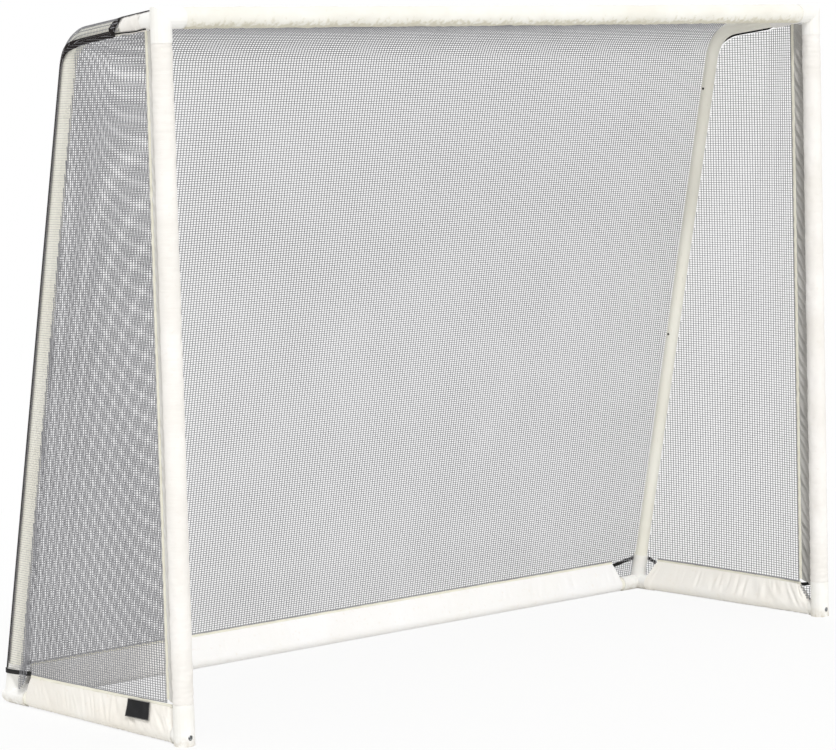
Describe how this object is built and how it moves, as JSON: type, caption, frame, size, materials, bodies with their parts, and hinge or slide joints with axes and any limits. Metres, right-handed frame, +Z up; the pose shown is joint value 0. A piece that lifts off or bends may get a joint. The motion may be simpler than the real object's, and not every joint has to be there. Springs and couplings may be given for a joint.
{
  "type": "soccer goal",
  "caption": "Knock-down backyard goal: sleeved tube frame with leaning rear uprights, fine netting on back, sides and roof, and fabric skirts round the base tubes.",
  "frame": {"origin": "on the ground, in the middle of the goal's bounding box", "axes": "+X across the goal towards its right post as seen from the field, +Y towards the back net (the mouth faces -Y), +Z up"},
  "size_m": [2.44, 0.815, 1.83],
  "materials": {
    "white_steel": "warm white powder coat, satin",
    "white_fitting": "moulded white plastic, satin",
    "white_fabric": "white woven cloth, lightly gathered",
    "cream_tape": "cream woven tape",
    "grey_net": "dark grey knitted netting",
    "black_webbing": "black woven webbing",
    "spring_steel": "bright spring steel",
    "dark_steel": "dark plated steel",
    "plug_plastic": "black moulded plastic"
  },
  "bodies": {
    "goal_frame": {"back_net": "grey_net", "blank_label": "black_webbing", "crossbar_left_tube": "white_steel", "crossbar_middle_tube": "white_steel", "crossbar_right_tube": "white_steel", "crossbar_sleeve": "white_fabric", "left_base_tube": "white_steel", "left_base_tube_plug": "plug_plastic", "left_foot_screw": "dark_steel", "left_front_foot": "white_fitting", "left_front_strap": "black_webbing", "left_lower_button_clip": "spring_steel", "left_post_hem_tape": "cream_tape", "left_post_lower_tube": "white_steel", "left_post_sleeve": "white_fabric", "left_post_upper_tube": "white_steel", "left_rear_corner": "white_fitting", "left_rear_strap": "black_webbing", "left_side_bend_tube": "white_steel", "left_side_net": "grey_net", "left_side_sleeve": "white_fabric", "left_skirt": "white_fabric", "left_skirt_tape": "cream_tape", "left_top_corner": "white_fitting", "left_upper_button_clip": "spring_steel", "left_upright_lower_tube": "white_steel", "left_upright_upper_tube": "white_steel", "rear_base_left_tube": "white_steel", "rear_base_middle_tube": "white_steel", "rear_base_right_tube": "white_steel", "rear_skirt": "white_fabric", "rear_skirt_tape": "cream_tape", "right_base_tube": "white_steel", "right_base_tube_plug": "plug_plastic", "right_foot_screw": "dark_steel", "right_front_foot": "white_fitting", "right_front_strap": "black_webbing", "right_lower_button_clip": "spring_steel", "right_post_hem_tape": "cream_tape", "right_post_lower_tube": "white_steel", "right_post_sleeve": "white_fabric", "right_post_upper_tube": "white_steel", "right_rear_corner": "white_fitting", "right_rear_strap": "black_webbing", "right_side_bend_tube": "white_steel", "right_side_net": "grey_net", "right_side_sleeve": "white_fabric", "right_skirt": "white_fabric", "right_skirt_tape": "cream_tape", "right_top_corner": "white_fitting", "right_upper_button_clip": "spring_steel", "right_upright_lower_tube": "white_steel", "right_upright_upper_tube": "white_steel", "roof_net": "grey_net", "shoulder_net": "grey_net"},
    "left_upper_button": {"left_upper_button": "dark_steel"},
    "left_lower_button": {"left_lower_button": "dark_steel"},
    "right_upper_button": {"right_upper_button": "dark_steel"},
    "right_lower_button": {"right_lower_button": "dark_steel"}
  },
  "joints": [
    {"name": "left_upper_button_press", "type": "slide", "parent": "goal_frame", "child": "left_upper_button", "axis": [1, 0, 0], "range_m": [-0.0045, 0], "stiffness_N_per_m": 1500, "springref_m": 0.0015, "deforming": ["left_upper_button_clip"]},
    {"name": "left_lower_button_press", "type": "slide", "parent": "goal_frame", "child": "left_lower_button", "axis": [1, 0, 0], "range_m": [-0.0045, 0], "stiffness_N_per_m": 1500, "springref_m": 0.0015, "deforming": ["left_lower_button_clip"]},
    {"name": "right_upper_button_press", "type": "slide", "parent": "goal_frame", "child": "right_upper_button", "axis": [-1, 0, 0], "range_m": [-0.0045, 0], "stiffness_N_per_m": 1500, "springref_m": 0.0015, "deforming": ["right_upper_button_clip"]},
    {"name": "right_lower_button_press", "type": "slide", "parent": "goal_frame", "child": "right_lower_button", "axis": [-1, 0, 0], "range_m": [-0.0045, 0], "stiffness_N_per_m": 1500, "springref_m": 0.0015, "deforming": ["right_lower_button_clip"]}
  ]
}
